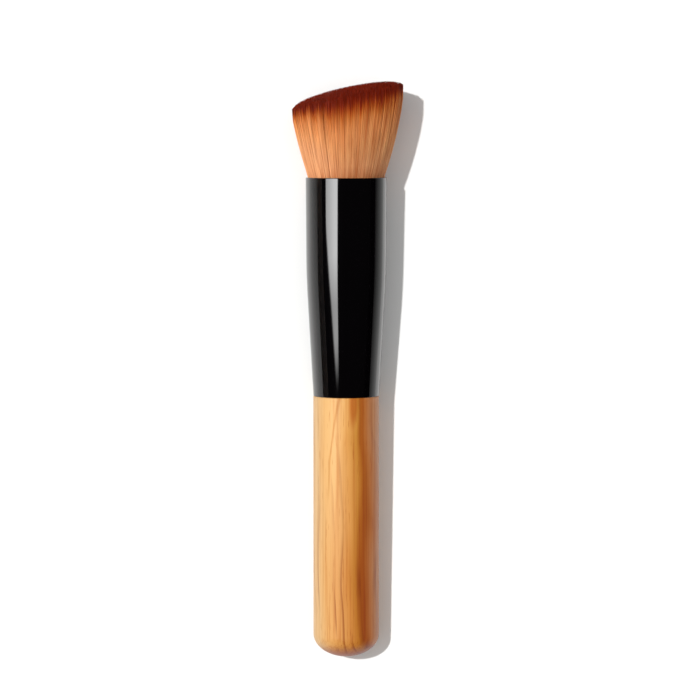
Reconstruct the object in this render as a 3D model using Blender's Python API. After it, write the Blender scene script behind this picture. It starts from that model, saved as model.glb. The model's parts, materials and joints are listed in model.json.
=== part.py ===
"""A slanted foundation brush: wooden handle, black bell ferrule and a dense two-tone head.

Every piece is built upright about the brush's own axis, local +Z from the butt to the head,
with the long side of the slanted head at local +X. One empty then lays the whole brush on a
table: it rests on the rim of its head and on the handle beside the butt, so the head end of
the axis is raised a little. World +Y runs along the brush towards its head, and +Z is up.
"""

import math
import random

import bmesh
import bpy
from mathutils import Vector

MM = 0.001
DEGREE = math.pi / 180

# Clearance between pieces that touch on the real brush
SEAT_GAP = 0.3 * MM

# Handle
HANDLE_LENGTH = 70.5 * MM
HANDLE_DIAMETER = 17.8 * MM
BUTT_DOME_HEIGHT = 6.0 * MM
BUTT_FLAT_DIAMETER = 5.0 * MM
SHOULDER_EDGE_BREAK = 0.2 * MM
TENON_LENGTH = 24.0 * MM
TENON_END_CHAMFER = 1.0 * MM

# Glue grooves turned into the tenon, the first one measured up from the handle's shoulder
GROOVE_HEIGHT = 13.0 * MM
GROOVE_PITCH = 5.0 * MM
GROOVE_COUNT = 2
GROOVE_WIDTH = 1.6 * MM
GROOVE_DEPTH = 0.8 * MM

# How far the glue reaches past the outer grooves, along the tenon
ADHESIVE_REACH = 1.5 * MM

# Ferrule: a cone that leaves the handle flush with it, a soft knee, then the barrel
FERRULE_LENGTH = 59.0 * MM
FERRULE_WALL = 0.6 * MM
CONE_LENGTH = 32.0 * MM
CONE_WIDENING = 3.7 * MM
KNEE_BLEND_LENGTH = 12.0 * MM
BARREL_WIDENING = 0.4 * MM
FERRULE_EDGE_BREAK = 0.15 * MM

# Head, inside the ferrule: the fibres' roots, their tie and the potting
ROOT_DEPTH = 14.0 * MM
ROOT_SLICE_THICKNESS = 2.0 * MM
ROOT_FUSE_DEPTH = 0.5 * MM
POTTING_THICKNESS = 4.5 * MM
POTTING_MENISCUS = 1.2 * MM
TIE_THREAD_DIAMETER = 0.5 * MM
TIE_PITCH = 0.95 * MM
TIE_TURNS = 3
TIE_HEIGHT = 1.8 * MM

# Head, outside the ferrule. The flare diameter is the width that the fibres open towards.
HEAD_AXIS_LENGTH = 24.0 * MM
HEAD_FLARE_DIAMETER = 31.5 * MM
HEAD_FLARE_POWER = 1.7
HEAD_CROWN = 1.6 * MM
HEAD_EDGE_DROP = 1.2 * MM
HEAD_EDGE_POWER = 8
HEAD_SLANT = 12.0 * DEGREE
DYED_TIP_LENGTH = 6.0 * MM

# Strands, each standing for a lock of fibres: one on the axis, and rings round it
STRAND_RINGS = 10
STRANDS_IN_FIRST_RING = 6
STRAND_SIDES = 3
STRAND_LENGTH_SPREAD = 0.25 * MM
STRAND_SEED = 7

# Part of a full turn by which each ring is turned against the next, so that no rows show
RING_TURN_SHARE = 0.382

# Radius of a strand, as a share of the spacing between rings at the same height
PACKED_STRAND_SHARE = 0.45
OPEN_STRAND_SHARE = 0.44
TIP_STRAND_SHARE = 0.34

# Facets round a turned piece and round the tie, and steps along the dome and the knee
TURNED_STEPS = 48
TIE_STEPS = 24
DOME_STEPS = 7
KNEE_STEPS = 4

SHARP_EDGE_ANGLE = 35 * DEGREE
MERGE_DISTANCE = 0.005 * MM

# Heights on the brush's axis, from the butt
SHOULDER_Z = HANDLE_LENGTH
FERRULE_BASE_Z = SHOULDER_Z + SEAT_GAP
MOUTH_Z = FERRULE_BASE_Z + FERRULE_LENGTH
ROOT_SLICE_TOP_Z = MOUTH_Z - ROOT_DEPTH
ROOT_SLICE_BASE_Z = ROOT_SLICE_TOP_Z - ROOT_SLICE_THICKNESS
POTTING_TOP_Z = ROOT_SLICE_BASE_Z - SEAT_GAP
TIE_BASE_Z = ROOT_SLICE_TOP_Z + TIE_HEIGHT
TIE_TOP_Z = TIE_BASE_Z + TIE_TURNS * TIE_PITCH

# Radii that follow from how the pieces fit
HANDLE_RADIUS = HANDLE_DIAMETER / 2
TENON_RADIUS = HANDLE_RADIUS - FERRULE_WALL - SEAT_GAP

# Finishes: name, sRGB colour, roughness and metallic value
WOOD = ("oiled_wood", "#DDA05E", 0.42, 0.0)
BLACK_LACQUER = ("black_gloss_lacquer", "#08080A", 0.12, 0.0)
PALE_FIBRE = ("pale_fibre", "#DD9966", 0.55, 0.0)
DYED_FIBRE = ("dyed_fibre_tip", "#6A2310", 0.60, 0.0)
TIE_COTTON = ("tie_cotton", "#E6DED0", 0.85, 0.0)
POTTING_RESIN = ("potting_resin", "#C79A54", 0.25, 0.0)
WHITE_GLUE = ("white_glue", "#E9E2CF", 0.50, 0.0)


def clear_scene():
    """Removes what the scene holds, so that the brush is all there is."""
    for item in list(bpy.data.objects):
        bpy.data.objects.remove(item)


def linear(channel):
    """One sRGB channel, 0 to 1, as a linear value."""
    if channel <= 0.04045:
        return channel / 12.92
    return ((channel + 0.055) / 1.055) ** 2.4


def material(name, hex_colour, roughness, metallic):
    """A plain Principled finish, made once for each name."""
    made = bpy.data.materials.get(name) or bpy.data.materials.new(name)
    made.use_nodes = True
    shader = made.node_tree.nodes["Principled BSDF"]
    channels = [int(hex_colour[i : i + 2], 16) / 255 for i in (1, 3, 5)]
    colour = [linear(c) for c in channels] + [1.0]
    shader.inputs["Base Color"].default_value = colour
    shader.inputs["Roughness"].default_value = roughness
    shader.inputs["Metallic"].default_value = metallic
    made.diffuse_color = colour
    return made


def add_object(name, data, brush, *finishes):
    """Links a mesh or curve as a named object under the brush's empty."""
    made = bpy.data.objects.new(name, data)
    bpy.context.scene.collection.objects.link(made)
    made.parent = brush
    for finish in finishes:
        data.materials.append(material(*finish))
    return made


def turned(name, outline, brush, *finishes):
    """A solid turned about the axis from its outline of (radius, height) points.

    An outline that starts and ends on the axis is a full body. Any other is a ring, and its
    last point joins its first. A flat facet, not an edge, faces the table.
    """
    start = math.pi / 2 - math.pi / TURNED_STEPS
    body = bmesh.new()
    corners = [
        body.verts.new((r * math.cos(start), r * math.sin(start), z)) for r, z in outline
    ]
    is_ring = outline[0][0] > 0
    following = corners[1:] + corners[:1] if is_ring else corners[1:]
    edges = [body.edges.new(pair) for pair in zip(corners, following)]
    bmesh.ops.spin(
        body,
        geom=corners + edges,
        cent=(0, 0, 0),
        axis=(0, 0, 1),
        angle=math.tau,
        steps=TURNED_STEPS,
        use_merge=True,
    )
    bmesh.ops.remove_doubles(body, verts=body.verts, dist=MERGE_DISTANCE)
    bmesh.ops.recalc_face_normals(body, faces=body.faces)
    mesh = bpy.data.meshes.new(name)
    body.to_mesh(mesh)
    body.free()
    mesh.shade_smooth()
    mesh.set_sharp_from_angle(angle=SHARP_EDGE_ANGLE)
    return add_object(name, mesh, brush, *finishes)


def between(low, high, share):
    """The value that lies this share of the way from low to high."""
    return low + (high - low) * share


def ferrule_outer(axis_z):
    """Outer radius of the ferrule: two straight stretches with a rounded knee between them."""
    knee = HANDLE_RADIUS + CONE_WIDENING / 2
    cone_slope = CONE_WIDENING / 2 / CONE_LENGTH
    barrel_slope = BARREL_WIDENING / 2 / (FERRULE_LENGTH - CONE_LENGTH)
    reach = KNEE_BLEND_LENGTH / 2
    past_knee = axis_z - FERRULE_BASE_Z - CONE_LENGTH
    if past_knee <= -reach:
        return knee + cone_slope * past_knee
    if past_knee >= reach:
        return knee + barrel_slope * past_knee
    share = (past_knee + reach) / KNEE_BLEND_LENGTH
    on_cone = between(knee - cone_slope * reach, knee, share)
    on_barrel = between(knee, knee + barrel_slope * reach, share)
    return between(on_cone, on_barrel, share)


def ferrule_bore(axis_z):
    """Inner radius of the ferrule."""
    return ferrule_outer(axis_z) - FERRULE_WALL


def groove_middles():
    """Height of the middle of each glue groove, from the lowest up."""
    first = SHOULDER_Z + GROOVE_HEIGHT
    return [first + i * GROOVE_PITCH for i in range(GROOVE_COUNT)]


def butt_outline():
    """Outline of the handle's domed butt, from the edge of its small flat outwards."""
    first_angle = math.asin(BUTT_FLAT_DIAMETER / HANDLE_DIAMETER)
    dome_reach = BUTT_DOME_HEIGHT / math.cos(first_angle)
    angles = [between(first_angle, math.pi / 2, i / DOME_STEPS) for i in range(DOME_STEPS + 1)]
    return [
        (HANDLE_RADIUS * math.sin(angle), BUTT_DOME_HEIGHT - dome_reach * math.cos(angle))
        for angle in angles
    ]


def make_handle(brush):
    """The turned wooden handle, with its tenon and the glue grooves."""
    tenon_top = SHOULDER_Z + TENON_LENGTH
    outline = [(0, 0)] + butt_outline()
    outline += [
        (HANDLE_RADIUS, SHOULDER_Z - SHOULDER_EDGE_BREAK),
        (HANDLE_RADIUS - SHOULDER_EDGE_BREAK, SHOULDER_Z),
        (TENON_RADIUS, SHOULDER_Z),
    ]
    for middle in groove_middles():
        outline += [
            (TENON_RADIUS, middle - GROOVE_WIDTH / 2),
            (TENON_RADIUS - GROOVE_DEPTH, middle - GROOVE_WIDTH / 2),
            (TENON_RADIUS - GROOVE_DEPTH, middle + GROOVE_WIDTH / 2),
            (TENON_RADIUS, middle + GROOVE_WIDTH / 2),
        ]
    outline += [
        (TENON_RADIUS, tenon_top - TENON_END_CHAMFER),
        (TENON_RADIUS - TENON_END_CHAMFER, tenon_top),
        (0, tenon_top),
    ]
    return turned("handle", outline, brush, WOOD)


def make_ferrule(brush):
    """The lacquered bell-shaped tube that joins the head to the handle."""
    knee_z = FERRULE_BASE_Z + CONE_LENGTH
    reach = KNEE_BLEND_LENGTH / 2
    heights = [
        knee_z + between(-reach, reach, i / KNEE_STEPS) for i in range(KNEE_STEPS + 1)
    ]
    base = ferrule_outer(FERRULE_BASE_Z)
    mouth = ferrule_outer(MOUTH_Z)
    outline = [
        (base - FERRULE_EDGE_BREAK, FERRULE_BASE_Z),
        (base, FERRULE_BASE_Z + FERRULE_EDGE_BREAK),
    ]
    outline += [(ferrule_outer(z), z) for z in heights]
    outline += [
        (mouth, MOUTH_Z - FERRULE_EDGE_BREAK),
        (mouth - FERRULE_EDGE_BREAK, MOUTH_Z),
    ]
    heights_inside = [MOUTH_Z] + heights[::-1] + [FERRULE_BASE_Z]
    outline += [(ferrule_bore(z), z) for z in heights_inside]
    return turned("ferrule", outline, brush, BLACK_LACQUER)


def make_tenon_adhesive(brush):
    """The set glue between tenon and ferrule: a wedge-shaped ring that fills the grooves."""
    middles = groove_middles()
    start = middles[0] - GROOVE_WIDTH / 2 - ADHESIVE_REACH
    end = middles[-1] + GROOVE_WIDTH / 2 + ADHESIVE_REACH
    inner = TENON_RADIUS + SEAT_GAP
    in_groove = inner - GROOVE_DEPTH
    half_width = GROOVE_WIDTH / 2 - SEAT_GAP
    outline = [
        (ferrule_bore(start) - SEAT_GAP, start),
        (ferrule_bore(end) - SEAT_GAP, end),
        (inner, end),
    ]
    for middle in reversed(middles):
        outline += [
            (inner, middle + half_width),
            (in_groove, middle + half_width),
            (in_groove, middle - half_width),
            (inner, middle - half_width),
        ]
    outline.append((inner, start))
    return turned("tenon_adhesive", outline, brush, WHITE_GLUE)


def make_root_potting(brush):
    """The resin plug under the fibre roots, hollow below where it crept up the wall as it set."""
    base = POTTING_TOP_Z - POTTING_THICKNESS
    rim = ferrule_bore(base) - SEAT_GAP
    outline = [
        (0, base + POTTING_MENISCUS),
        (rim - POTTING_MENISCUS, base + POTTING_MENISCUS),
        (rim, base),
        (ferrule_bore(POTTING_TOP_Z) - SEAT_GAP, POTTING_TOP_Z),
        (0, POTTING_TOP_Z),
    ]
    return turned("root_potting", outline, brush, POTTING_RESIN)


def bundle_radius(axis_z):
    """Outer radius of the fibre bundle in the ferrule: drawn in by the tie, full at the mouth."""
    at_root = ferrule_bore(ROOT_SLICE_TOP_Z) - 2 * (TIE_THREAD_DIAMETER + SEAT_GAP)
    at_mouth = ferrule_bore(MOUTH_Z) - SEAT_GAP
    return between(at_root, at_mouth, (axis_z - ROOT_SLICE_TOP_Z) / ROOT_DEPTH)


def tie_points():
    """Points along the middle of the tie's thread, as one spiral."""
    radius = bundle_radius(TIE_TOP_Z) + SEAT_GAP + TIE_THREAD_DIAMETER / 2
    last = TIE_TURNS * TIE_STEPS
    points = []
    for i in range(last + 1):
        angle = math.tau * i / TIE_STEPS
        height = between(TIE_BASE_Z, TIE_TOP_Z, i / last)
        points.append(Vector((radius * math.cos(angle), radius * math.sin(angle), height)))
    return points


def least_gap_between_turns(points):
    """Least clear distance between stretches of thread more than half a turn apart."""
    half_turn = TIE_STEPS // 2
    nearest = min(
        (later - point).length
        for i, point in enumerate(points)
        for later in points[i + half_turn :]
    )
    return nearest - TIE_THREAD_DIAMETER


def make_root_tie(brush):
    """The cotton thread wound round the fibres just above their roots."""
    points = tie_points()
    curve = bpy.data.curves.new("root_tie", "CURVE")
    curve.dimensions = "3D"
    curve.bevel_depth = TIE_THREAD_DIAMETER / 2
    curve.bevel_resolution = 1
    curve.use_fill_caps = True
    spline = curve.splines.new("POLY")
    spline.points.add(len(points) - 1)
    for target, point in zip(spline.points, points):
        target.co = (*point, 1)
    print(f"root_tie: least gap between turns {least_gap_between_turns(points) / MM:.2f} mm")
    return add_object("root_tie", curve, brush, TIE_COTTON)


def head_length(x, y):
    """Length of fibre outside the ferrule at a place on the head's slanted, crowned end."""
    off_axis = math.hypot(x, y) / (HEAD_FLARE_DIAMETER / 2)
    slanted = HEAD_AXIS_LENGTH + math.tan(HEAD_SLANT) * x
    return slanted - HEAD_CROWN * off_axis**2 - HEAD_EDGE_DROP * off_axis**HEAD_EDGE_POWER


def head_radius(above_mouth):
    """Outer radius of the flaring head at a height above the ferrule's mouth."""
    full = HEAD_FLARE_DIAMETER / 2
    longest = HEAD_AXIS_LENGTH + math.tan(HEAD_SLANT) * full
    flared_share = 1 - (1 - above_mouth / longest) ** HEAD_FLARE_POWER
    return between(bundle_radius(MOUTH_Z), full, flared_share)


def strand_station(place_share, angle, axis_z, outer_radius, strand_share):
    """(centre x, centre y, height, strand radius) of a strand where the head is this wide.

    The outermost ring's strands just reach the outer radius.
    """
    spacing = outer_radius / (STRAND_RINGS + strand_share)
    reach = place_share * STRAND_RINGS * spacing
    return reach * math.cos(angle), reach * math.sin(angle), axis_z, strand_share * spacing


def strand_stations(place_share, angle, spread):
    """A strand's stations at its root, the ferrule's mouth, the dye line and the tip.

    place_share is 0 on the axis and 1 in the outermost ring.
    """
    full = place_share * HEAD_FLARE_DIAMETER / 2
    length = head_length(full * math.cos(angle), full * math.sin(angle)) + spread
    pale_length = length - DYED_TIP_LENGTH
    root_z = ROOT_SLICE_TOP_Z - ROOT_FUSE_DEPTH
    levels = (
        (root_z, bundle_radius(root_z), PACKED_STRAND_SHARE),
        (MOUTH_Z, bundle_radius(MOUTH_Z), PACKED_STRAND_SHARE),
        (MOUTH_Z + pale_length, head_radius(pale_length), OPEN_STRAND_SHARE),
        (MOUTH_Z + length, head_radius(length), TIP_STRAND_SHARE),
    )
    return [strand_station(place_share, angle, *level) for level in levels]


def strand_places():
    """(place share, angle) of every strand, ring by ring from the axis outwards.

    The outermost ring has a strand at each quarter turn, so the head has its stated width.
    """
    places = [(0, 0)]
    for ring in range(1, STRAND_RINGS + 1):
        count = ring * STRANDS_IN_FIRST_RING
        turn = (STRAND_RINGS - ring) * RING_TURN_SHARE
        places += [(ring / STRAND_RINGS, math.tau * (turn + i / count)) for i in range(count)]
    return places


def add_strand(body, stations, angle):
    """Adds one closed strand to a bmesh. Its dyed end takes the second finish."""
    turns = [angle + math.tau * side / STRAND_SIDES for side in range(STRAND_SIDES)]
    rings = [
        [body.verts.new((x + radius * math.cos(t), y + radius * math.sin(t), z)) for t in turns]
        for x, y, z, radius in stations
    ]
    body.faces.new(reversed(rings[0]))
    for low, high in zip(rings, rings[1:]):
        for side in range(STRAND_SIDES):
            after = (side + 1) % STRAND_SIDES
            face = body.faces.new((low[side], low[after], high[after], high[side]))
            face.material_index = int(high is rings[-1])
    body.faces.new(rings[-1]).material_index = 1


def make_strands(brush):
    """All the strands as one helper mesh, which a Boolean fuses to the slice under them.

    The outermost ring keeps its exact length, so that the rim has its stated size.
    """
    lengths = random.Random(STRAND_SEED)
    body = bmesh.new()
    for place_share, angle in strand_places():
        spread = lengths.uniform(-STRAND_LENGTH_SPREAD, STRAND_LENGTH_SPREAD)
        if place_share == 1:
            spread = 0
        add_strand(body, strand_stations(place_share, angle, spread), angle)
    mesh = bpy.data.meshes.new("strands")
    body.to_mesh(mesh)
    body.free()
    strands = add_object("strands", mesh, brush, PALE_FIBRE, DYED_FIBRE)
    strands.hide_render = True
    strands.display_type = "WIRE"
    return strands


def make_bristle_head(brush):
    """The fibres, fused at their roots to the slice of glue that holds them together."""
    rim = ferrule_bore(ROOT_SLICE_BASE_Z) - SEAT_GAP
    outline = [
        (0, ROOT_SLICE_BASE_Z),
        (rim, ROOT_SLICE_BASE_Z),
        (rim, ROOT_SLICE_TOP_Z),
        (0, ROOT_SLICE_TOP_Z),
    ]
    head = turned("bristle_head", outline, brush, PALE_FIBRE, DYED_FIBRE)
    fuse = head.modifiers.new("fuse_strands", "BOOLEAN")
    fuse.operation = "UNION"
    fuse.solver = "EXACT"
    fuse.object = make_strands(brush)
    return head


def world_bounds(pieces):
    """Lowest and highest corner of the box round the pieces' own vertices."""
    places = [piece.matrix_world @ v.co for piece in pieces for v in piece.data.vertices]
    low = Vector([min(place[i] for place in places) for i in range(3)])
    high = Vector([max(place[i] for place in places) for i in range(3)])
    return low, high


def lay_on_table(brush):
    """Turns the upright brush on its side and rests it on the plane z = 0.

    The table touches the rim of the head and the handle where its dome begins. The middle of
    the brush's box then lies over the origin.
    """
    handle_drop = HANDLE_RADIUS * math.cos(math.pi / TURNED_STEPS)
    _, rim_y, rim_z, tip_radius = strand_stations(1, math.pi / 2, 0)[-1]
    rise = math.atan2(rim_y + tip_radius - handle_drop, rim_z - BUTT_DOME_HEIGHT)
    brush.rotation_euler = (rise - math.pi / 2, 0, 0)
    bpy.context.view_layer.update()
    low, high = world_bounds([item for item in bpy.data.objects if item.type == "MESH"])
    middle = (low + high) / 2
    brush.location = (-middle.x, -middle.y, -low.z)
    print(f"axis rises {rise / DEGREE:.4f} degrees towards the head")
    print(f"butt face centre at {tuple(round(v / MM, 4) for v in brush.location)} mm")


def main():
    """Builds the brush."""
    clear_scene()
    brush = bpy.data.objects.new("brush_axis", None)
    bpy.context.scene.collection.objects.link(brush)
    make_handle(brush)
    make_ferrule(brush)
    make_tenon_adhesive(brush)
    make_root_potting(brush)
    make_root_tie(brush)
    make_bristle_head(brush)
    lay_on_table(brush)


main()
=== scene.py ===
"""Looks of the slanted foundation brush: fine meshes, fibres, finishes, studio and camera.

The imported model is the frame. Its rigid shapes are repeated here with finer turning, the
head's strands are replaced by many fine fibres, and every surface gets its finish.
"""

import json
import logging
import math
from collections.abc import Callable
from dataclasses import dataclass, field
from enum import Enum, auto
from functools import cached_property, partial
from typing import NamedTuple

import bmesh
import bpy
from bmesh.types import BMesh, BMVert
from bpy.types import ID, AreaLight, Material, Mesh, Node, NodeSocket, NodeTree, Object
from mathutils import Matrix, Vector


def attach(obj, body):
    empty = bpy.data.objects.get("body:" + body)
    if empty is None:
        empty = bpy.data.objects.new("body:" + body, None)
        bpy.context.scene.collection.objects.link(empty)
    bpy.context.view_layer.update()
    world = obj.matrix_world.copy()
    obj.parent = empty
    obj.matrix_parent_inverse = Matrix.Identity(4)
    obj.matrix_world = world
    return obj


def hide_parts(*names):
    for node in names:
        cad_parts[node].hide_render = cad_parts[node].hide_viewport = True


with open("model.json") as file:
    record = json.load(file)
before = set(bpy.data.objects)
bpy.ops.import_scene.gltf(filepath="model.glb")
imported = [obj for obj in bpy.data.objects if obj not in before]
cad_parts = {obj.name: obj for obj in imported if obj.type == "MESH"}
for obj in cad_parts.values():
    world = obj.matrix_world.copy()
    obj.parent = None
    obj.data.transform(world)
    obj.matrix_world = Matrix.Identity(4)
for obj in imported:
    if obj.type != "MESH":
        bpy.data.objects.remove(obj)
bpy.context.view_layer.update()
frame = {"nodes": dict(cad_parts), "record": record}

logging.basicConfig(level=logging.INFO, format="%(message)s")
logger = logging.getLogger("foundation_brush")

Pair = tuple[float, float]
Stops = tuple[tuple[float, str], ...]

MM = 0.001
GOLDEN_ANGLE = math.pi * (3 - math.sqrt(5))
SHARP_ANGLE = math.radians(40)
BRUSH_AXIS_HEIGHT = 12.0 * MM

MATH = "ShaderNodeMath"
VECTOR = "ShaderNodeVectorMath"
SEPARATE = "ShaderNodeSeparateXYZ"
COMBINE = "ShaderNodeCombineXYZ"
MAP_RANGE = "ShaderNodeMapRange"
COORDINATE = "ShaderNodeTexCoord"
ATTRIBUTE = "ShaderNodeAttribute"
NOISE = "ShaderNodeTexNoise"
BUMP = "ShaderNodeBump"
RAMP = "ShaderNodeValToRGB"
MIX = "ShaderNodeMix"
RANDOM = "FunctionNodeRandomValue"
PRINCIPLED = "ShaderNodeBsdfPrincipled"
SURFACE = "ShaderNodeOutputMaterial"
SOFT = "SMOOTHSTEP"
NOISE_MIDDLE = (0.5, 0.5, 0.5)
ACROSS_ONLY = (1.0, 1.0, 0.0)


def linear_rgba(hex_colour: str) -> tuple[float, float, float, float]:
    """Turns an sRGB hex colour into linear values.

    Args:
        hex_colour: Colour such as "#DDA05E".

    Returns:
        Linear red, green and blue, and full opacity.
    """
    channels = []
    for start in (1, 3, 5):
        value = int(hex_colour[start : start + 2], 16) / 255
        channels.append(value / 12.92 if value <= 0.04045 else ((value + 0.055) / 1.055) ** 2.4)
    return (*channels, 1.0)


def add_node(
    tree: NodeTree, kind: str, *values: object, named: dict[str, object] | None = None, **settings: object
) -> Node:
    """Adds a node, applies its settings and fills or links its inputs.

    Args:
        tree: Node tree that gets the node.
        kind: Blender's name for the node type.
        values: For each input that the node shows, in order, a constant, a socket to link
            from, or a node whose first shown output is linked.
        named: The same for inputs by their names.
        settings: Properties of the node, by name.

    Returns:
        The new node.
    """
    made = tree.nodes.new(kind)
    for name, value in settings.items():
        setattr(made, name, value)
    shown = [socket for socket in made.inputs if socket.enabled]
    picked = [(made.inputs[name], value) for name, value in (named or {}).items()]
    for socket, value in [*zip(shown, values), *picked]:
        if isinstance(value, Node):
            value = next(output for output in value.outputs if output.enabled)
        if isinstance(value, NodeSocket):
            tree.links.new(value, socket)
        else:
            socket.default_value = value
    return made


def empty_tree(owner: Material | bpy.types.Light | bpy.types.World) -> NodeTree:
    """Turns on the nodes of a material, light or world, and removes those it starts with.

    Args:
        owner: What the nodes belong to.

    Returns:
        Its node tree, emptied.
    """
    owner.use_nodes = True
    owner.node_tree.nodes.clear()
    return owner.node_tree


def soft_mask(
    tree: NodeTree, steps: list[tuple[Node | NodeSocket, float, float]], mask: Node | None = None
) -> Node:
    """Multiplies soft steps into one mask.

    Args:
        tree: Node tree that gets the mask.
        steps: For each step the value that it reads, where it leaves 0 and where it reaches 1.
        mask: A share that is multiplied in first, if there is one.

    Returns:
        Node that gives the product.
    """
    for step in steps:
        share = add_node(tree, MAP_RANGE, *step, interpolation_type=SOFT)
        mask = share if mask is None else add_node(tree, MATH, mask, share, operation="MULTIPLY")
    return mask


def set_ramp(ramp: Node, stops: Stops) -> None:
    """Gives a colour ramp its stops.

    Args:
        ramp: Ramp node to change.
        stops: Place from 0 to 1 and sRGB hex colour of each stop, in order.
    """
    elements = ramp.color_ramp.elements
    while len(elements) > 1:
        elements.remove(elements[-1])
    for number, (place, hex_colour) in enumerate(stops):
        element = elements[0] if number == 0 else elements.new(place)
        element.position = place
        element.color = linear_rgba(hex_colour)


def add_object(name: str, data: ID) -> Object:
    """Makes an object and adds it to the scene.

    Args:
        name: Name of the object.
        data: Mesh, light or camera that it shows.

    Returns:
        The object.
    """
    made = bpy.data.objects.new(name, data)
    bpy.context.scene.collection.objects.link(made)
    return made


def add_stage_sheet(name: str, corners: list[tuple[float, float, float]], finish: Material) -> Object:
    """Adds a flat sheet that belongs to the studio.

    Args:
        name: Name of the sheet.
        corners: Its four corners, in order.
        finish: Its material.

    Returns:
        The sheet.
    """
    mesh = bpy.data.meshes.new(name)
    mesh.from_pydata(corners, [], [range(len(corners))])
    mesh.materials.append(finish)
    sheet = add_object(name, mesh)
    return sheet


def between(low: float, high: float, share: float) -> float:
    """Returns the value that lies this share of the way from low to high."""
    return low + (high - low) * share


@dataclass(frozen=True)
class BrushAxis:
    """The brush's own axis in the frame: local +Z runs from the butt to the head.

    Local +X points to the long side of the slanted head, and local +Y points down.
    """

    butt: Vector
    direction: Vector

    @classmethod
    def from_frame(cls) -> "BrushAxis":
        """Reads the axis from the flat on the butt, which faces straight along it."""
        mount = next(m for m in frame["record"]["mounts"] if m["name"] == "butt_face")
        return cls(Vector(mount["pos_m"]), -Vector(mount["axis"]).normalized())

    def matrix(self) -> Matrix:
        """Works out how the brush lies.

        Returns:
            Matrix from the brush's local space to the frame.
        """
        across = Vector((1, 0, 0))
        down = self.direction.cross(across)
        turn = Matrix((across, down, self.direction)).transposed()
        return Matrix.Translation(self.butt) @ turn.to_4x4()

    def heights(self, node: str) -> Pair:
        """Measures a CAD node along the axis.

        Args:
            node: Name of the node.

        Returns:
            Distance of its lowest and its highest point from the butt.
        """
        points = [vertex.co for vertex in frame["nodes"][node].data.vertices]
        along = [(point - self.butt).dot(self.direction) for point in points]
        return min(along), max(along)

    def radius(self, node: str, low: float, high: float) -> float:
        """Measures how far a CAD node reaches from the axis.

        Args:
            node: Name of the node.
            low: Height from the butt at which to start looking.
            high: Height at which to stop.

        Returns:
            Largest distance of its points from the axis between those heights.
        """
        reach = 0.0
        for vertex in frame["nodes"][node].data.vertices:
            offset = vertex.co - self.butt
            height = offset.dot(self.direction)
            if low <= height <= high:
                reach = max(reach, (offset - height * self.direction).length)
        return reach

    def finish_piece(self, name: str, mesh: Mesh, material: Material, slot: str, node: str) -> None:
        """Places a mesh that was built in local space, hides the CAD node that it replaces, and reports the
        piece.

        Args:
            name: Name of the piece.
            mesh: Mesh in the brush's local space, which takes the place into itself.
            material: Its finish.
            slot: Not used.
            node: CAD node that the piece replaces.
        """
        mesh.name = name
        mesh.transform(self.matrix())
        mesh.materials.clear()
        mesh.materials.append(material)
        piece = add_object(name, mesh)
        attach(piece, "root")
        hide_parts(node)
        mesh.calc_loop_triangles()
        logger.info("%s: %d triangles, stands for %s", name, len(mesh.loop_triangles), node)


def join_rings(body: BMesh, rings: list[list[BMVert]]) -> None:
    """Joins each ring of points to the next one with faces.

    Args:
        body: Body that gets the faces.
        rings: Rings of points, in order. A ring of one point is a pole.
    """
    for low, high in zip(rings, rings[1:]):
        steps = max(len(low), len(high))
        for step in range(steps):
            after = (step + 1) % steps
            corners = [low[step % len(low)], low[after % len(low)]]
            corners += [high[after % len(high)], high[step % len(high)]]
            body.faces.new(dict.fromkeys(corners))


def smooth_mesh(body: BMesh) -> Mesh:
    """Turns a closed body into a smooth mesh whose faces point outwards.

    Args:
        body: The body, which is used up.

    Returns:
        The mesh.
    """
    bmesh.ops.recalc_face_normals(body, faces=body.faces)
    mesh = bpy.data.meshes.new("closed_body")
    body.to_mesh(mesh)
    body.free()
    mesh.shade_smooth()
    return mesh


def turned_mesh(outline: list[Pair], segments: int) -> Mesh:
    """Turns an outline about the local axis into one closed mesh.

    Args:
        outline: (radius, height) points. An outline that starts and ends on the axis is a full
            body. Any other is a ring, whose last point joins its first.
        segments: Steps round the axis.

    Returns:
        The mesh.
    """
    body = bmesh.new()
    angles = [math.tau * step / segments for step in range(segments)]
    rings = []
    for radius, height in outline:
        if radius == 0:
            points = [(0, 0, height)]
        else:
            points = [(radius * math.cos(a), radius * math.sin(a), height) for a in angles]
        rings.append([body.verts.new(point) for point in points])
    if outline[0][0] > 0:
        rings.append(rings[0])
    join_rings(body, rings)
    mesh = smooth_mesh(body)
    mesh.set_sharp_from_angle(angle=SHARP_ANGLE)
    return mesh


def rounded_corner(centre: Pair, radius: float, start_angle: float, steps: int) -> list[Pair]:
    """Works out a quarter round that replaces an outline's square outer corner.

    Args:
        centre: Centre of the round, as (radius, height).
        radius: Radius of the round.
        start_angle: Angle of its first point, anticlockwise from straight out.
        steps: Number of steps along it.

    Returns:
        Points of the round, in order.
    """
    angles = [start_angle + math.pi / 2 * step / steps for step in range(steps + 1)]
    return [(centre[0] + radius * math.cos(a), centre[1] + radius * math.sin(a)) for a in angles]


class Streaks(NamedTuple):
    """Noise drawn out along the brush: millimetres across, how often longer, and octaves."""

    width: float
    stretch: float
    octaves: float


class Sign(Enum):
    """What a mask in the wood reads. Places are in millimetres, and noise runs from 0 to 1."""

    HEIGHT = auto()
    ACROSS = auto()
    ACROSS_BENT_GRAIN = auto()
    GRAIN = auto()
    PORES = auto()
    PLACE_IN_RING = auto()
    PATCHES = auto()
    ARCH_TOP = auto()
    FROM_ARM = auto()
    FROM_FLAME = auto()


class Step(NamedTuple):
    """A soft step of a mask: what it reads, where it leaves 0 and where it reaches 1."""

    reads: Sign
    start: float
    full: float


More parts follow.
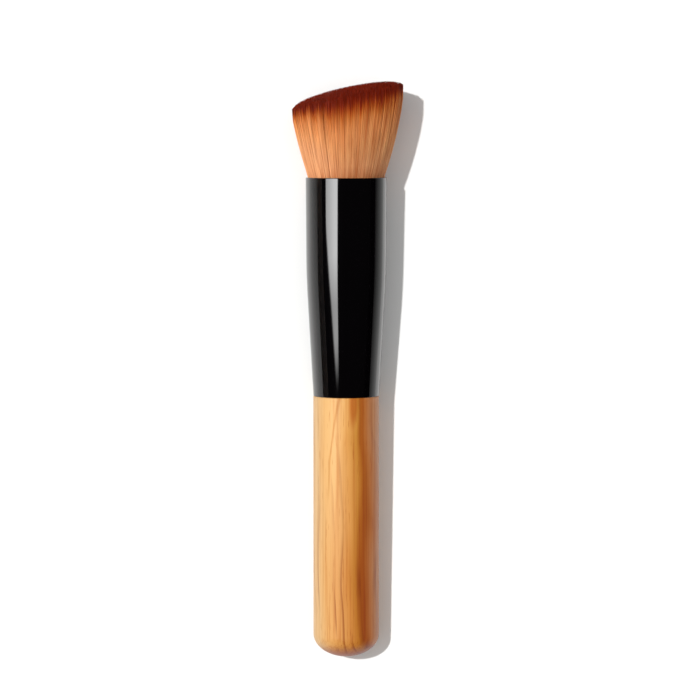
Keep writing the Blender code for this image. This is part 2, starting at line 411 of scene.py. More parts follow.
@dataclass(frozen=True)
class TurnedWoodFinish:
    """Turned hardwood under a thin clear satin lacquer.

    Long pale grain with one dark heartwood streak shows through a soft, broad shine. Lengths
    are in millimetres in the brush's local space.
    """

    axis: BrushAxis
    # The growth rings lie round the pith and follow the stem's bends, as (height, shift).
    pith: Pair = (-62.0, 24.0)
    ring_pitch: float = 2.3
    ring_sway: tuple[Pair, ...] = (
        (0.0, 0.6), (13.0, 0.35), (24.0, -0.15), (38.0, 0.1), (50.0, -0.1), (62.0, -0.45), (75.0, -0.5),
    )
    sway_limit: float = 2.0
    # Colours by distance from the rings' centre: pale wood, a dark line, then redder wood.
    streak_place: Pair = (4.7, -7.6)
    streak_span: float = 12.0
    wood_colours: Stops = (
        (0.0, "#DFB67E"), (0.16, "#E2B171"), (0.26, "#DFAD6B"), (0.39, "#D9A766"),
        (0.50, "#D79D54"), (0.60, "#C28633"), (0.64, "#AF6718"), (0.66, "#A25510"),
        (0.68, "#A25510"), (0.71, "#B1692C"), (0.77, "#B77A4A"), (1.0, "#B27848"),
    )
    # A vessel is under 0.1 mm across, which is too fine to show, so pores are drawn at 0.2.
    pores: Streaks = Streaks(0.2, 26.0, 1.0)
    grain: Streaks = Streaks(0.6, 70.0, 2.0)
    bends: Streaks = Streaks(8.0, 3.5, 1.0)
    bend: float = 3.2
    patches: Streaks = Streaks(3.0, 9.0, 1.0)
    patch_shift: float = 3.75
    noise_roughness: float = 0.55
    flame_place: tuple[float, float, float] = (1.6, -8.5, 69.5)
    flame_reach: tuple[float, float, float] = (1.9, 4.0, 8.5)
    # A plain-sawn face shows the rings as nested arches that open towards the butt.
    arch_place: float = 1.0
    arch_opening: float = 1.2
    arch_waves: Streaks = Streaks(2.5, 6.0, 1.0)
    arch_wave_height: float = 7.0
    arm_height: float = 85.5
    late_wood: str = "#C0905C"
    late_steps: tuple[Step, ...] = (Step(Sign.PATCHES, 0.42, 0.66), Step(Sign.PLACE_IN_RING, 0.55, 0.97))
    # Late wood is strongest towards the butt: the change, the least strength and what it gains.
    late_change: Step = Step(Sign.HEIGHT, 50.0, 12.0)
    late_strength: Pair = (0.3, 0.5)
    # In order: fine grain, pores, inside of the outermost arch, left arm of the next one, the
    # dark flame beside the shoulder, the butt's half between sapwood and heartwood, and a
    # darkening towards the butt's end.
    tints: tuple[tuple[str, tuple[Step, ...]], ...] = (
        ("#EDD6B8", (Step(Sign.GRAIN, 0.42, 0.78),)),
        ("#E2C49E", (Step(Sign.PORES, 0.64, 0.76),)),
        ("#F8F0E4", (Step(Sign.ARCH_TOP, 69.0, 62.0), Step(Sign.HEIGHT, 28.0, 52.0))),
        ("#EAD6B4", (Step(Sign.FROM_ARM, 5.0, 0.0), Step(Sign.ACROSS_BENT_GRAIN, 1.0, -2.0),
                     Step(Sign.HEIGHT, 40.0, 50.0))),
        ("#DFB67C", (Step(Sign.FROM_FLAME, 1.0, 0.35),)),
        ("#EBD4B3", (Step(Sign.HEIGHT, 60.0, 15.0), Step(Sign.ACROSS, -9.0, -1.0),
                     Step(Sign.ACROSS, 8.5, 3.5))),
        # Darker towards the butt's end.
        ("#C58E66", (Step(Sign.HEIGHT, 4.2, 0.6),)),
    )
    # The lacquer is thin, so the grain still shows in the shine and the pores as faint dents.
    grain_roughness: Pair = (0.40, 0.52)
    pore_strength: float = 0.10
    pore_depth: float = 0.05 * MM
    wood_ior: float = 1.45
    wood_specular: float = 0.35
    lacquer_weight: float = 0.22
    lacquer_roughness: float = 0.42

    @cached_property
    def material(self) -> Material:
        """Makes the wood's material.

        Returns:
            The material, emptied for its nodes.
        """
        material = bpy.data.materials.new("turned_lacquered_hardwood")
        empty_tree(material)
        return material

    @cached_property
    def add(self) -> Callable[..., Node]:
        """The function that adds a node to this material."""
        return partial(add_node, self.material.node_tree)

    @cached_property
    def place(self) -> Node:
        """Adds the place in the brush's local space.

        Returns:
            Node that gives it in millimetres.
        """
        place = self.add(COORDINATE).outputs["Object"]
        turn = self.axis.matrix().to_euler()
        turned = self.add("ShaderNodeMapping", place, self.axis.butt, turn, vector_type="TEXTURE")
        return self.add(VECTOR, turned, 1 / MM, operation="SCALE")

    @cached_property
    def bent(self) -> Node:
        """Bends the place a little, as a real stem is never straight.

        Returns:
            Node that gives the bent place.
        """
        colour = self.long_noise(self.place, self.bends).outputs["Color"]
        centred = self.add(VECTOR, colour, NOISE_MIDDLE, operation="SUBTRACT")
        bend = (self.bend, self.bend, 0.0)
        return self.add(VECTOR, centred, bend, self.place, operation="MULTIPLY_ADD")

    def long_noise(self, place: Node, streaks: Streaks) -> Node:
        """Adds noise that is drawn out along the brush.

        Args:
            place: Place to read it at.
            streaks: Size of its features.

        Returns:
            The noise node.
        """
        across = 1 / streaks.width
        scale = (across, across, 1 / (streaks.width * streaks.stretch))
        squeezed = self.add(VECTOR, place, scale, operation="MULTIPLY")
        return self.add(NOISE, squeezed, 1.0, streaks.octaves, self.noise_roughness)

    def ring_distance(self, height: NodeSocket) -> Node:
        """Adds the distance from the pith, which sways with the height.

        Args:
            height: Height above the butt.

        Returns:
            Node that gives the distance.
        """
        shift = (-self.pith[0], -self.pith[1], 0.0)
        flat = self.add(VECTOR, self.bent, ACROSS_ONLY, shift, operation="MULTIPLY_ADD")
        length = self.add(VECTOR, flat, operation="LENGTH")
        top, limit = self.ring_sway[-1][0], self.sway_limit
        share = self.add(MATH, height, top, operation="DIVIDE")
        curve = self.add("ShaderNodeFloatCurve", named={"Value": share})
        spots = [(spot / top, 0.5 + shift / limit / 2) for spot, shift in self.ring_sway]
        points = curve.mapping.curves[0].points
        points[0].location, points[1].location = spots[0], spots[-1]
        for spot in spots[1:-1]:
            points.new(*spot)
        curve.mapping.update()
        sway = self.add(MAP_RANGE, curve, 0.0, 1.0, -limit, limit)
        return self.add(MATH, length, sway, operation="SUBTRACT")

    def arch_top(self, across: NodeSocket, height: NodeSocket) -> Node:
        """Adds the height at which the arch of grain through a point has its top.

        Args:
            across: Place across the bent grain.
            height: Height above the butt.

        Returns:
            Node that gives the top's height.
        """
        aside = self.add(MATH, across, self.arch_place, operation="SUBTRACT")
        squared = self.add(MATH, aside, 2.0, operation="POWER")
        top = self.add(MATH, squared, self.arch_opening, height, operation="MULTIPLY_ADD")
        waves = self.long_noise(self.bent, self.arch_waves)
        return self.add(MATH, waves, self.arch_wave_height, top, operation="MULTIPLY_ADD")

    def from_flame(self) -> Node:
        """Adds the distance from the dark flame's middle.

        Returns:
            Node that gives it as a share of the flame's reach.
        """
        inverse = tuple(1 / reach for reach in self.flame_reach)
        shift = tuple(-middle * one for middle, one in zip(self.flame_place, inverse))
        scaled = self.add(VECTOR, self.bent, inverse, shift, operation="MULTIPLY_ADD")
        return self.add(VECTOR, scaled, operation="LENGTH")

    def build(self) -> Material:
        """Builds the wood's material.

        Returns:
            The material.
        """
        add = self.add
        across_bent, _, height = add(SEPARATE, self.bent).outputs
        ring_distance = self.ring_distance(height)
        turns = add(MATH, ring_distance, self.ring_pitch, operation="DIVIDE")
        moved = add(VECTOR, self.bent, (self.patch_shift, 0.0, 0.0), operation="ADD")
        arch_top = self.arch_top(across_bent, height)
        from_arm = add(MATH, arch_top, self.arm_height, operation="SUBTRACT")
        signs = {
            Sign.HEIGHT: height,
            Sign.ACROSS: add(SEPARATE, self.place).outputs["X"],
            Sign.ACROSS_BENT_GRAIN: across_bent,
            Sign.GRAIN: self.long_noise(self.place, self.grain),
            Sign.PORES: self.long_noise(self.place, self.pores),
            Sign.PLACE_IN_RING: add(MATH, turns, operation="FRACT"),
            Sign.PATCHES: self.long_noise(moved, self.patches),
            Sign.ARCH_TOP: arch_top,
            Sign.FROM_ARM: add(MATH, from_arm, operation="ABSOLUTE"),
            Sign.FROM_FLAME: self.from_flame(),
        }
        least, gain = self.late_strength
        change = add(MAP_RANGE, signs[self.late_change.reads], *self.late_change[1:], interpolation_type=SOFT)
        strength = add(MATH, change, gain, least, operation="MULTIPLY_ADD")
        across, down = self.streak_place
        streak = math.hypot(across - self.pith[0], down - self.pith[1])
        nearest, farthest = streak - self.streak_span, streak + self.streak_span / 2
        colour = add(RAMP, add(MAP_RANGE, ring_distance, nearest, farthest))
        set_ramp(colour, self.wood_colours)
        layers = [(self.late_wood, self.late_steps, strength)]
        layers += [(tint, steps, None) for tint, steps in self.tints]
        for tint, steps, share in layers:
            values = [(signs[step.reads], step.start, step.full) for step in steps]
            mask = soft_mask(self.material.node_tree, values, share)
            inputs = (mask, colour, linear_rgba(tint))
            colour = add(MIX, *inputs, data_type="RGBA", blend_type="MULTIPLY")
        dents = {"Strength": self.pore_strength, "Distance": self.pore_depth}
        looks = {
            "Base Color": colour,
            "Roughness": add(MAP_RANGE, signs[Sign.GRAIN], 0.0, 1.0, *self.grain_roughness),
            "Normal": add(BUMP, named=dents | {"Height": signs[Sign.PORES]}),
            "IOR": self.wood_ior,
            "Specular IOR Level": self.wood_specular,
            "Coat Weight": self.lacquer_weight,
            "Coat Roughness": self.lacquer_roughness,
        }
        add(SURFACE, add(PRINCIPLED, named=looks))
        return self.material


@dataclass(frozen=True)
class PianoLacquerFinish:
    """Sprayed and polished black lacquer on aluminium tube.

    Nearly black, with mirror-like streaks of the lights and a pale edge where it mirrors the
    floor. A very low swell in the film keeps those streaks from being ruler-straight.
    """

    black: str = "#030203"
    film_ior: float = 1.8
    film_roughness: Pair = (0.045, 0.072)
    swell_size: float = 9.0 * MM
    swell_height: float = 0.1 * MM
    swell_strength: float = 0.05

    def build(self) -> Material:
        """Builds the lacquer's material.

        Returns:
            The material.
        """
        material = bpy.data.materials.new("polished_black_lacquer")
        add = partial(add_node, empty_tree(material))
        swell = add(NOISE, add(COORDINATE).outputs["Object"], 1 / self.swell_size, 1.0)
        wave = {"Strength": self.swell_strength, "Distance": self.swell_height, "Height": swell}
        looks = {
            "Base Color": linear_rgba(self.black),
            "Roughness": add(MAP_RANGE, swell, 0.0, 1.0, *self.film_roughness),
            "Normal": add(BUMP, named=wave),
            "IOR": self.film_ior,
        }
        add(SURFACE, add(PRINCIPLED, named=looks))
        return material


@dataclass(frozen=True)
class DippedFibreFinish:
    """Extruded polyester fibre whose tips are dip-dyed.

    The tips are a flat, dark red-brown that fades through orange into pale tan. Each fibre
    has its own tone, which also holds painted light and shade, and the smooth filament keeps a
    faint silky shine.
    """

    name: str = "tip_dyed_polyester_fibre"
    dark_tint: str = "#C5A18A"
    light_tint: str = "#FFFFFF"
    roughness: float = 0.48
    fibre_ior: float = 1.45
    specular: float = 0.2
    dye_length: float = 25.0
    dye_colours: Stops = (
        (0.0, "#8C260A"), (0.09, "#8C260A"), (0.136, "#A4370C"), (0.184, "#C65C1D"),
        (0.24, "#DB7D35"), (0.32, "#EC9A56"), (0.44, "#F2A767"), (0.64, "#F0AE73"),
        (0.88, "#EBAC79"), (1.0, "#EBAC79"),
    )

    def build(self) -> Material:
        """Builds the fibre's material, which reads the attributes that the fibres carry.

        Returns:
            The material.
        """
        material = bpy.data.materials.new(self.name)
        add = partial(add_node, empty_tree(material))
        depth = add(ATTRIBUTE, attribute_name="dye_depth").outputs["Fac"]
        dyed = add(RAMP, add(MAP_RANGE, depth, 0.0, self.dye_length))
        set_ramp(dyed, self.dye_colours)
        tone = add(ATTRIBUTE, attribute_name="tone").outputs["Fac"]
        ends = (linear_rgba(self.dark_tint), linear_rgba(self.light_tint))
        tint = add(MIX, tone, *ends, data_type="RGBA", clamp_factor=True)
        looks = {
            "Base Color": add(MIX, 1.0, dyed, tint, data_type="RGBA", blend_type="MULTIPLY"),
            "Roughness": self.roughness,
            "IOR": self.fibre_ior,
            "Specular IOR Level": self.specular,
        }
        add(SURFACE, add(PRINCIPLED, named=looks))
        return material


@dataclass(frozen=True)
class CloudyFinish:
    """A plain inner material with a soft cloudy change of tone, for parts that never show."""

    name: str
    light: str
    dark: str
    feature: float
    roughness: float
    octaves: float = 3.0
    cloud_edges: Pair = (0.3, 0.7)

    def build(self) -> Material:
        """Builds the cloudy material.

        Returns:
            The material.
        """
        material = bpy.data.materials.new(self.name)
        add = partial(add_node, empty_tree(material))
        noise = add(NOISE, add(COORDINATE).outputs["Object"], 1 / self.feature, self.octaves)
        clouds = add(RAMP, noise)
        set_ramp(clouds, tuple(zip(self.cloud_edges, (self.dark, self.light))))
        add(SURFACE, add(PRINCIPLED, named={"Base Color": clouds, "Roughness": self.roughness}))
        return material


@dataclass(frozen=True)
class Handle:
    """The turned handle, with its tenon inside the ferrule."""

    axis: BrushAxis
    dome_height: float = 6.0 * MM
    flat_radius: float = 2.5 * MM
    shoulder_round: float = 0.2 * MM
    seam: float = 0.03 * MM
    tenon_chamfer: float = 1.0 * MM
    dome_steps: int = 28
    round_steps: int = 4
    segments: int = 192

    def outline(self) -> list[Pair]:
        """Draws the handle's outline.

        Returns:
            (radius, height) points from the butt up to the tenon's end.
        """
        shoulder = self.axis.heights("ferrule")[0] - self.seam
        tenon_top = self.axis.heights("handle")[1]
        radius = self.axis.radius("handle", 0, shoulder)
        tenon = self.axis.radius("handle", shoulder, tenon_top - self.tenon_chamfer)
        first_angle = math.asin(self.flat_radius / radius)
        reach = self.dome_height / math.cos(first_angle)
        outline = [(0.0, 0.0)]
        for step in range(self.dome_steps + 1):
            angle = between(first_angle, math.pi / 2, step / self.dome_steps)
            outline.append((radius * math.sin(angle), self.dome_height - reach * math.cos(angle)))
        centre = (radius - self.shoulder_round, shoulder - self.shoulder_round)
        outline += rounded_corner(centre, self.shoulder_round, 0, self.round_steps)
        outline += [
            (tenon, shoulder),
            (tenon, tenon_top - self.tenon_chamfer),
            (tenon - self.tenon_chamfer, tenon_top),
            (0.0, tenon_top),
        ]
        return outline

    def build(self) -> None:
        """Builds the handle and dresses it in lacquered wood."""
        mesh = turned_mesh(self.outline(), self.segments)
        wood = TurnedWoodFinish(self.axis).build()
        self.axis.finish_piece("turned_handle", mesh, wood, "oiled_wood", "handle")


@dataclass(frozen=True)
class Ferrule:
    """The drawn bell ferrule: a cone from the handle, a soft knee and a nearly parallel barrel."""

    axis: BrushAxis
    wall: float = 0.6 * MM
    cone_length: float = 32.0 * MM
    cone_widening: float = 3.7 * MM
    knee_length: float = 12.0 * MM
    edge_round: float = 0.16 * MM
    knee_steps: int = 16
    edge_steps: int = 4
    segments: int = 224

    @cached_property
    def ends(self) -> Pair:
        """The heights of its base and its mouth above the butt."""
        return self.axis.heights("ferrule")

    @cached_property
    def foot_radius(self) -> float:
        """The outer radius at its base, which is flush with the handle."""
        return self.axis.radius("handle", 0, self.ends[0])

    @cached_property
    def rim_radius(self) -> float:
        """The outer radius at its mouth."""
        return self.axis.radius("ferrule", *self.ends)

    def radius_at(self, height: float) -> float:
        """Works out the ferrule's outer radius.

        Args:
            height: Height above its base.

        Returns:
            Radius of the cone, the knee or the barrel there.
        """
        base, mouth = self.ends
        knee = self.foot_radius + self.cone_widening / 2
        barrel_length = mouth - base - self.cone_length
        cone_slope = (knee - self.foot_radius) / self.cone_length
        barrel_slope = (self.rim_radius - knee) / barrel_length
        reach = self.knee_length / 2
        past = height - self.cone_length
        if past <= -reach:
            return knee + cone_slope * past
        if past >= reach:
            return knee + barrel_slope * past
        share = (past + reach) / self.knee_length
        on_cone = between(knee - cone_slope * reach, knee, share)
        on_barrel = between(knee, knee + barrel_slope * reach, share)
        return between(on_cone, on_barrel, share)

    def outline(self) -> list[Pair]:
        """Draws the closed outline of the ferrule's wall.

        Returns:
            (radius, height) points, up the outside and down the bore.
        """
        base, mouth = self.ends
        length = mouth - base
        rounding = self.edge_round
        foot = (self.radius_at(0) - rounding, base + rounding)
        rim = (self.radius_at(length) - rounding, mouth - rounding)
        reach = self.knee_length / 2
        shares = [step / self.knee_steps for step in range(self.knee_steps + 1)]
        knee = [self.cone_length + between(-reach, reach, share) for share in shares]
        outline = rounded_corner(foot, rounding, -math.pi / 2, self.edge_steps)
        outline += [(self.radius_at(height), base + height) for height in knee]
        outline += rounded_corner(rim, rounding, 0, self.edge_steps)
        bore = [length] + knee[::-1] + [0]
        outline += [(self.radius_at(height) - self.wall, base + height) for height in bore]
        return outline

    def build(self) -> None:
        """Builds the ferrule and dresses it in black lacquer."""
        mesh = turned_mesh(self.outline(), self.segments)
        lacquer = PianoLacquerFinish().build()
        self.axis.finish_piece("bell_ferrule", mesh, lacquer, "black_gloss_lacquer", "ferrule")


class Zone(Enum):
    """Which fibres of the head a piece holds."""

    SKIN = "skin"
    CROWN = "crown"


@dataclass(frozen=True)
class FibreLot:
    """One piece's worth of fibres.

    Attributes:
        zone: Skin fibres show along their whole length, crown fibres only at their tips.
        number: Which piece of its zone it is, from 1.
        fibres: How many fibres it holds.
        inner_area: Share of the head's cross-section that lies inside its fibres.
        outer_area: Share of the cross-section at which its outermost fibres stand.
        seed: Seed of its random draws.
        depth: Length of fibre that is modelled, from the tip down. Skin fibres are modelled
            down to the inset.
        points: Points along each fibre.
    """

    zone: Zone
    number: int
    fibres: int
    inner_area: float
    outer_area: float
    seed: int
    depth: float = 100 * MM
    points: int = 9


@dataclass(frozen=True)
class FibreTree:
    """Geometry Nodes that grow one lot of fibres in the brush's local space.

    Each shared node is made once, when first asked for. A change is given as the two values
    between which it runs, and then by what it gives at each of them.

    Attributes:
        values: One lot's value for every input, by its name.
        angle_jitter: Angle by which a fibre stands off its even place.
        loosening: Power of the height by which the locks' pull grows.
        lock_height: Length along a fibre over which its lock's tone changes.
        lock_range: Range of the locks' noise that is used.
        own_dye: Millimetres by which one fibre's dye differs from the next one's.
        lock_dye: The same for one lock, either way.
        lock_tone: Tone of the darkest and the lightest lock.
        own_tone: By how much one fibre's tone differs from its lock's.
        side_tone: Painted light and shade, a change of tone from the short side, which is painted lighter, to
            the long side, which is painted darker.
        root_tone: Painted shade, a change of tone that darkens the fibres just above the ferrule's mouth.
        short_side: Places between which the dye comes to fade faster.
        long_side: Places between which the dye comes to end sooner.
        dye_band: Depths between which that ending sets in.
        taper: Change of a fibre's thickness along its length.
    """

    values: dict[str, object]
    angle_jitter: float = 0.03
    loosening: float = 1.4
    lock_height: float = 9.0 * MM
    lock_range: Pair = (0.25, 0.75)
    lock_octaves: float = 2.0
    lock_roughness: float = 0.6
    own_dye: float = 1.1
    lock_dye: Pair = (-1.3, 1.3)
    dye_seed: int = 11
    lock_tone: Pair = (0.15, 1.0)
    own_tone: float = 0.30
    tone_seed: int = 23
    # Painted light and shade: fibres lighter on the short side and darker on the long side.
    side_tone: tuple[float, float, float, float] = (-0.75, 0.2, 0.30, -0.08)
    # Painted shade: darker fibres just above the ferrule's mouth.
    root_tone: tuple[float, float, float, float] = (0.0, 1.6 * MM, -0.35, 0.0)
    short_side: Pair = (-0.1, -1.0)
    long_side: Pair = (0.3, 1.0)
    dye_band: Pair = (2.8, 4.8)
    taper: tuple[float, float, float, float] = (0.55, 1.0, 1.0, 0.45)
    section_sides: int = 3

    @cached_property
    def tree(self) -> NodeTree:
        """Makes the tree with its inputs, each of the kind that its value's type names.

        Returns:
            The tree, still without nodes.
        """
        tree = bpy.data.node_groups.new("fibre_lot", "GeometryNodeTree")
        for name, value in self.values.items():
            kind = f"NodeSocket{type(value).__name__.title()}"
            tree.interface.new_socket(name=name, in_out="INPUT", socket_type=kind)
        tree.interface.new_socket(name="grown", in_out="OUTPUT", socket_type="NodeSocketGeometry")
        return tree

    @cached_property
    def add(self) -> Callable[..., Node]:
        """The function that adds a node to this tree."""
        return partial(add_node, self.tree)

    @cached_property
    def size(self) -> bpy.types.bpy_prop_collection:
        """The tree's inputs, as sockets to link from."""
        return self.add("NodeGroupInput").outputs

    @cached_property
    def copies(self) -> Node:
        """Copies one straight line into all the fibres.

        Returns:
            Node that gives them as curves, not yet in their places.
        """
        line = self.add("GeometryNodeCurvePrimitiveLine")
        strand = self.add("GeometryNodeResampleCurve", line, named={"Count": self.size["points"]})
        amount = {"Amount": self.size["fibres"]}
        return self.add("GeometryNodeDuplicateElements", strand, named=amount, domain="SPLINE")

    @cached_property
    def index(self) -> NodeSocket:
        """Number of the fibre."""
        return self.copies.outputs["Duplicate Index"]

    @cached_property
    def share(self) -> Node:
        """Spreads the fibres evenly over their ring's area.

        Returns:
            Node that gives a fibre's distance from the axis as a share.
        """
        ratio = self.add(MATH, self.index, self.size["fibres"], operation="DIVIDE")
        ends = (self.size["inner_area"], self.size["outer_area"])
        return self.add(MATH, self.add(MAP_RANGE, ratio, 0.0, 1.0, *ends), operation="SQRT")

    @cached_property
    def direction(self) -> Node:
        """Turns each fibre a golden angle on from the last one.

        Returns:
            Node that gives a fibre's direction from the axis.
        """
        drawn = (-self.angle_jitter, self.angle_jitter, self.index, self.size["seed"])
        jitter = self.add(RANDOM, *drawn, data_type="FLOAT")
        angle = self.add(MATH, self.index, GOLDEN_ANGLE, jitter, operation="MULTIPLY_ADD")
        named = {"Vector": (1.0, 0.0, 0.0), "Angle": angle}
        return self.add("ShaderNodeVectorRotate", named=named, rotation_type="Z_AXIS")

    @cached_property
    def side(self) -> NodeSocket:
        """Place of a fibre between the short side, at -1, and the long side, at 1."""
        spot = self.add(VECTOR, self.direction, self.share, operation="SCALE")
        return self.add(SEPARATE, spot).outputs["X"]

    @cached_property
    def reach(self) -> Node:
        """Distance of a fibre from the axis where the head is widest."""
        return self.add(MATH, self.share, self.size["full_radius"], operation="MULTIPLY")

    @cached_property
    def rim(self) -> Node:
        """A share that is 1 on the head's outline and falls steeply inside it."""
        return self.add(MATH, self.share, self.size["edge_power"], operation="POWER")

    @cached_property
    def even_end(self) -> Node:
        """Adds the height of the head's end without its rounded edge.

        Returns:
            Node that gives it. The dye is measured from there.
        """
        add, size = self.add, self.size
        spot = add(VECTOR, self.direction, self.reach, operation="SCALE")
        inputs = (add(SEPARATE, spot).outputs["X"], size["slant"], size["axis_length"])
        slanted = add(MATH, *inputs, operation="MULTIPLY_ADD")
        squared = add(MATH, self.share, 2.0, operation="POWER")
        crown = add(MATH, squared, size["crown"], operation="MULTIPLY")
        return add(MATH, slanted, crown, operation="SUBTRACT")

    @cached_property
    def end(self) -> Node:
        """Adds a fibre's length above the mouth: as in length_at, and a little uneven.

        Returns:
            Node that gives it.
        """
        add, spread = self.add, self.size["length_spread"]
        drop = add(MATH, self.rim, self.size["edge_drop"], operation="MULTIPLY")
        rounded = add(MATH, self.even_end, drop, operation="SUBTRACT")
        short = add(MATH, spread, -1.0, operation="MULTIPLY")
        more = add(RANDOM, short, spread, self.index, self.size["seed"], data_type="FLOAT")
        return add(MATH, rounded, more, operation="ADD")

    @cached_property
    def height(self) -> Node:
        """Places the points along each fibre.

        Returns:
            Node that gives a point's height above the mouth.
        """
        add = self.add
        root = add(MATH, self.end, self.size["depth"], operation="SUBTRACT")
        lowest = add(MATH, self.size["inset"], -1.0, operation="MULTIPLY")
        start = add(MATH, root, lowest, operation="MAXIMUM")
        return add(MAP_RANGE, add("GeometryNodeSplineParameter"), 0.0, 1.0, start, self.end)

    @cached_property
    def opened(self) -> Node:
        """Share of the flare's length that lies below a point."""
        inputs = (self.height, self.size["longest"])
        return self.add(MATH, *inputs, operation="DIVIDE", use_clamp=True)

    def flare(self) -> Node:
        """Opens the fibres in the common flare, with the outermost tips curled in.

        Returns:
            Node that gives a point's place across the brush.
        """
        add, size = self.add, self.size
        closed = add(MATH, 1.0, self.opened, operation="SUBTRACT")
        curved = add(MATH, closed, size["flare_power"], operation="POWER")
        radius = add(MAP_RANGE, curved, 0.0, 1.0, size["full_radius"], size["mouth_radius"])
        straight = add(MATH, radius, self.share, operation="MULTIPLY")
        start = add(MATH, self.end, size["curl_length"], operation="SUBTRACT")
        near_tip = add(MAP_RANGE, self.height, start, self.end)
        eased = add(MATH, near_tip, 2.0, operation="POWER")
        most = add(MATH, self.rim, size["tip_curl"], operation="MULTIPLY")
        curl = add(MATH, most, eased, operation="MULTIPLY")
        reach = add(MATH, straight, curl, operation="SUBTRACT")
        return add(VECTOR, self.direction, reach, operation="SCALE")

    def aside(self) -> Node:
        """Adds the pull of each fibre's lock and the fibre's own wander.

        Returns:
            Node that gives how far a point is off the flare.
        """
        add, size = self.add, self.size
        loose = add(MATH, self.opened, self.loosening, operation="POWER")
        pull = add(MATH, loose, size["lock_pull"], operation="MULTIPLY")
        colour = self.locks().outputs["Color"]
        centred = add(VECTOR, colour, NOISE_MIDDLE, operation="SUBTRACT")
        pulled = add(VECTOR, centred, pull, operation="SCALE")
        ends = ((-0.5, -0.5, 0.0), (0.5, 0.5, 0.0))
        own = add(RANDOM, *ends, self.index, size["seed"], data_type="FLOAT_VECTOR")
        stray = add(MATH, self.opened, size["wander"], operation="MULTIPLY")
        strayed = add(VECTOR, own, stray, operation="SCALE")
        return add(VECTOR, pulled, strayed, operation="ADD")

    def path(self) -> Node:
        """Puts the flare, the pull and the height together.

        Returns:
            Node that gives a point's place in the brush's local space.
        """
        add = self.add
        inputs = (self.aside(), ACROSS_ONLY, self.flare())
        sideways = add(VECTOR, *inputs, operation="MULTIPLY_ADD")
        raised = add(MATH, self.height, self.size["mouth"], operation="ADD")
        return add(VECTOR, sideways, add(COMBINE, named={"Z": raised}), operation="ADD")

    def locks(self, height: Node | None = None) -> Node:
        """Adds noise over the head's cross-section that neighbouring fibres share.

        Args:
            height: Height above the mouth, where the noise also changes along the fibre.

        Returns:
            The noise node.
        """
        add = self.add
        distance = add(MATH, self.reach, self.size["lock_size"], operation="DIVIDE")
        spot = add(VECTOR, self.direction, distance, operation="SCALE")
        if height is not None:
            along = add(MATH, height, self.lock_height, operation="DIVIDE")
            spot = add(VECTOR, spot, add(COMBINE, named={"Z": along}), operation="ADD")
        return add(NOISE, spot, 1.0, self.lock_octaves, self.lock_roughness)

    def dye_depth(self) -> Node:
        """Adds the depth below the dipped end that the finish reads.

        The dye fades faster down the short side, and ends sooner down the long side.

        Returns:
            Node that gives it in millimetres.
        """
        add, size = self.add, self.size
        below = add(MATH, self.even_end, self.height, operation="SUBTRACT")
        own = add(RANDOM, -self.own_dye, self.own_dye, self.index, self.dye_seed, data_type="FLOAT")
        in_mm = add(MATH, below, 1 / MM, own, operation="MULTIPLY_ADD")
        clumped = add(MAP_RANGE, self.locks(), *self.lock_range, *self.lock_dye)
        ragged = add(MATH, in_mm, clumped, operation="ADD")
        fade = add(MAP_RANGE, self.side, *self.short_side, 1.0, size["short_side_fade"])
        faded = add(MATH, ragged, fade, operation="MULTIPLY")
        inputs = (self.side, *self.long_side, 0.0, size["thin_dye"])
        thinnest = add(MAP_RANGE, *inputs, interpolation_type=SOFT)
        floor = soft_mask(self.tree, [(faded, *self.dye_band)], thinnest)
        return add(MATH, faded, floor, operation="MAXIMUM")

    def tone(self) -> Node:
        """Adds the tone that the finish reads, with painted light and shade in it.

        Returns:
            Node that gives it, from 0 for the darkest and reddest fibre to 1 for the palest.
        """
        add = self.add
        own = add(RANDOM, -self.own_tone, self.own_tone, self.index, self.tone_seed, data_type="FLOAT")
        lock_tone = add(MAP_RANGE, self.locks(self.height), *self.lock_range, *self.lock_tone)
        tone = add(MATH, lock_tone, own, operation="ADD")
        # Painted light and shade across the head, and painted shade just above the ferrule's mouth.
        for value, change in ((self.side, self.side_tone), (self.height, self.root_tone)):
            shift = add(MAP_RANGE, value, *change, interpolation_type=SOFT)
            tone = add(MATH, tone, shift, operation="ADD")
        return tone

    def grow(self) -> NodeTree:
        """Builds the whole tree.

        Returns:
            The tree, which gives plain, dressed fibres with both attributes.
        """
        add = self.add
        curves = add("GeometryNodeSetPosition", self.copies, named={"Position": self.path()})
        for name, value in (("dye_depth", self.dye_depth()), ("tone", self.tone())):
            named = {"Name": name, "Value": value}
            kind = "GeometryNodeStoreNamedAttribute"
            curves = add(kind, curves, named=named, data_type="FLOAT", domain="POINT")
        section = add("GeometryNodeCurvePrimitiveCircle", self.section_sides, 1.0, mode="RADIUS")
        taper = add(MAP_RANGE, add("GeometryNodeSplineParameter"), *self.taper)
        radius = add(MATH, taper, self.size["fibre_radius"], operation="MULTIPLY")
        mesh = add("GeometryNodeCurveToMesh", curves, section, radius, True)
        plain = add("GeometryNodeRealizeInstances", mesh)
        dressed = add("GeometryNodeSetMaterial", plain, named={"Material": self.size["finish"]})
        add("NodeGroupOutput", dressed)
        return self.tree


